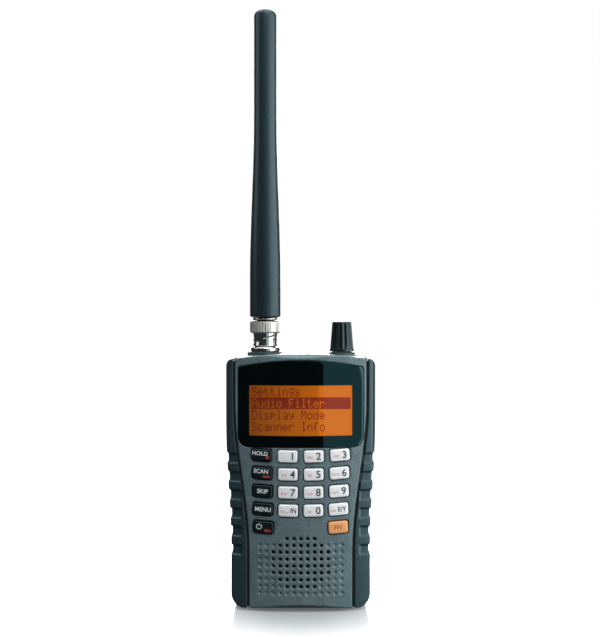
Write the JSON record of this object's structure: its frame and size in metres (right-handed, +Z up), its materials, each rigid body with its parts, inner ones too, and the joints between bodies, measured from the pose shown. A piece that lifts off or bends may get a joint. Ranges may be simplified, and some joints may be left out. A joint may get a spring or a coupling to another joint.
{
  "type": "handheld radio scanner",
  "caption": "Handheld radio scanner with crowned face, amber display, keypad, volume knob, battery bay and a rubber whip antenna on a bayonet coupling.",
  "frame": {"origin": "bottom centre, on the surface that the feet stand on", "axes": "+Z up along the case and the antenna, the keypad faces -Y, +X to the right as seen from the front"},
  "size_m": [0.067, 0.033, 0.2682],
  "materials": {
    "panel_plastic": "fine spark-textured moulded ABS, slate grey",
    "shell_plastic": "fine matt moulded ABS, dark slate",
    "grip_plastic": "smooth satin moulded plastic, dark slate",
    "lens_acrylic": "polished black-printed acrylic",
    "lcd_amber": "backlit amber liquid crystal display",
    "backlight": "frosted light guide",
    "silicone": "moulded silicone",
    "board": "solder-masked glass epoxy",
    "tinplate": "drawn tinplate",
    "cone": "pressed film",
    "encoder_plastic": "moulded nylon",
    "insulator": "turned PTFE",
    "nickel": "bright nickel plate",
    "brass": "machined brass",
    "screw_steel": "zinc plated steel",
    "copper_wire": "enamelled copper wire",
    "cell_wrap": "printed film wrap",
    "jack_plastic": "moulded nylon",
    "selector_plastic": "moulded acetal",
    "rubber": "matt moulded rubber",
    "antenna_rubber": "satin moulded rubber, dark slate",
    "knob_plastic": "satin moulded ABS, black",
    "key_dark": "satin silicone keycap, near black",
    "key_light": "satin silicone keycap, pale grey",
    "key_amber": "backlit silicone keycap, amber"
  },
  "bodies": {
    "case": {"front_case": "panel_plastic", "rear_case": "shell_plastic", "left_grip": "grip_plastic", "right_grip": "grip_plastic", "display_lens": "lens_acrylic", "lcd_glass": "lcd_amber", "lcd_frame": "shell_plastic", "backlight_panel": "backlight", "keypad_mat": "silicone", "key_domes": "nickel", "front_board": "board", "main_board": "board", "shield_cans": "tinplate", "speaker_frame": "tinplate", "speaker_cone": "cone", "encoder_body": "encoder_plastic", "encoder_nut": "nickel", "knob_collar": "shell_plastic", "antenna_jack": "nickel", "jack_insulator": "insulator", "jack_washer": "shell_plastic", "jack_nut": "nickel", "battery_cells": "cell_wrap", "contact_springs": "nickel", "contact_plates": "nickel", "usb_port": "nickel", "headphone_jack": "jack_plastic", "case_screws": "screw_steel", "clip_inserts": "brass", "feet": "rubber"},
    "key_hold": {"key_hold": "key_dark"},
    "key_scan": {"key_scan": "key_dark"},
    "key_lockout": {"key_lockout": "key_dark"},
    "key_menu": {"key_menu": "key_dark"},
    "key_power": {"key_power": "key_dark"},
    "key_func": {"key_func": "key_amber"},
    "key_1": {"key_1": "key_light"},
    "key_2": {"key_2": "key_light"},
    "key_3": {"key_3": "key_light"},
    "key_4": {"key_4": "key_light"},
    "key_5": {"key_5": "key_light"},
    "key_6": {"key_6": "key_light"},
    "key_7": {"key_7": "key_light"},
    "key_8": {"key_8": "key_light"},
    "key_9": {"key_9": "key_light"},
    "key_0": {"key_0": "key_light"},
    "key_dot": {"key_dot": "key_light"},
    "key_enter": {"key_enter": "key_light"},
    "rotor": {"encoder_rotor": "insulator"},
    "knob": {"volume_knob": "knob_plastic", "encoder_shaft": "nickel"},
    "antenna": {"antenna_sheath": "antenna_rubber", "antenna_coil": "copper_wire", "antenna_plug": "nickel", "antenna_pin": "brass", "plug_insulator": "insulator"},
    "coupling_ring": {"coupling_ring": "nickel"},
    "battery_door": {"battery_door": "shell_plastic"},
    "battery_selector": {"battery_selector": "selector_plastic"},
    "usb_cover": {"usb_cover": "rubber"}
  },
  "joints": [
    {"name": "key_hold_press", "type": "slide", "parent": "case", "child": "key_hold", "axis": [0, 1, 0], "range_m": [0, 0.0006], "stiffness_N_per_m": 2000, "springref_m": -0.0003},
    {"name": "key_scan_press", "type": "slide", "parent": "case", "child": "key_scan", "axis": [0, 1, 0], "range_m": [0, 0.0006], "stiffness_N_per_m": 2000, "springref_m": -0.0003},
    {"name": "key_lockout_press", "type": "slide", "parent": "case", "child": "key_lockout", "axis": [0, 1, 0], "range_m": [0, 0.0006], "stiffness_N_per_m": 2000, "springref_m": -0.0003},
    {"name": "key_menu_press", "type": "slide", "parent": "case", "child": "key_menu", "axis": [0, 1, 0], "range_m": [0, 0.0006], "stiffness_N_per_m": 2000, "springref_m": -0.0003},
    {"name": "key_power_press", "type": "slide", "parent": "case", "child": "key_power", "axis": [0, 1, 0], "range_m": [0, 0.0006], "stiffness_N_per_m": 2000, "springref_m": -0.0003},
    {"name": "key_func_press", "type": "slide", "parent": "case", "child": "key_func", "axis": [0, 1, 0], "range_m": [0, 0.0006], "stiffness_N_per_m": 2000, "springref_m": -0.0003},
    {"name": "key_1_press", "type": "slide", "parent": "case", "child": "key_1", "axis": [0, 1, 0], "range_m": [0, 0.0006], "stiffness_N_per_m": 2000, "springref_m": -0.0003},
    {"name": "key_2_press", "type": "slide", "parent": "case", "child": "key_2", "axis": [0, 1, 0], "range_m": [0, 0.0006], "stiffness_N_per_m": 2000, "springref_m": -0.0003},
    {"name": "key_3_press", "type": "slide", "parent": "case", "child": "key_3", "axis": [0, 1, 0], "range_m": [0, 0.0006], "stiffness_N_per_m": 2000, "springref_m": -0.0003},
    {"name": "key_4_press", "type": "slide", "parent": "case", "child": "key_4", "axis": [0, 1, 0], "range_m": [0, 0.0006], "stiffness_N_per_m": 2000, "springref_m": -0.0003},
    {"name": "key_5_press", "type": "slide", "parent": "case", "child": "key_5", "axis": [0, 1, 0], "range_m": [0, 0.0006], "stiffness_N_per_m": 2000, "springref_m": -0.0003},
    {"name": "key_6_press", "type": "slide", "parent": "case", "child": "key_6", "axis": [0, 1, 0], "range_m": [0, 0.0006], "stiffness_N_per_m": 2000, "springref_m": -0.0003},
    {"name": "key_7_press", "type": "slide", "parent": "case", "child": "key_7", "axis": [0, 1, 0], "range_m": [0, 0.0006], "stiffness_N_per_m": 2000, "springref_m": -0.0003},
    {"name": "key_8_press", "type": "slide", "parent": "case", "child": "key_8", "axis": [0, 1, 0], "range_m": [0, 0.0006], "stiffness_N_per_m": 2000, "springref_m": -0.0003},
    {"name": "key_9_press", "type": "slide", "parent": "case", "child": "key_9", "axis": [0, 1, 0], "range_m": [0, 0.0006], "stiffness_N_per_m": 2000, "springref_m": -0.0003},
    {"name": "key_0_press", "type": "slide", "parent": "case", "child": "key_0", "axis": [0, 1, 0], "range_m": [0, 0.0006], "stiffness_N_per_m": 2000, "springref_m": -0.0003},
    {"name": "key_dot_press", "type": "slide", "parent": "case", "child": "key_dot", "axis": [0, 1, 0], "range_m": [0, 0.0006], "stiffness_N_per_m": 2000, "springref_m": -0.0003},
    {"name": "key_enter_press", "type": "slide", "parent": "case", "child": "key_enter", "axis": [0, 1, 0], "range_m": [0, 0.0006], "stiffness_N_per_m": 2000, "springref_m": -0.0003},
    {"name": "knob_turn", "type": "hinge", "parent": "case", "child": "rotor", "pos_m": [0.0187, 0, 0.112], "axis": [0, 0, 1], "continuous": true},
    {"name": "knob_push", "type": "slide", "parent": "rotor", "child": "knob", "axis": [0, 0, -1], "range_m": [0, 0.0004], "stiffness_N_per_m": 3000, "springref_m": -0.0003},
    {"name": "antenna_swivel", "type": "hinge", "parent": "case", "child": "antenna", "pos_m": [-0.0161, 0, 0.12], "axis": [0, 0, 1], "continuous": true},
    {"name": "ring_turn", "type": "hinge", "parent": "case", "child": "coupling_ring", "pos_m": [-0.0161, 0, 0.12], "axis": [0, 0, 1], "range_deg": [-90, 0]},
    {"name": "door_slide", "type": "slide", "parent": "case", "child": "battery_door", "axis": [0, 0, -1], "range_m": [0, 0.068]},
    {"name": "selector_slide", "type": "slide", "parent": "case", "child": "battery_selector", "axis": [-1, 0, 0], "range_m": [0, 0.0028]},
    {"name": "usb_cover_swing", "type": "hinge", "parent": "case", "child": "usb_cover", "pos_m": [0.0335, 0.0025, 0.09], "axis": [0, 0, 1], "range_deg": [0, 110]}
  ]
}
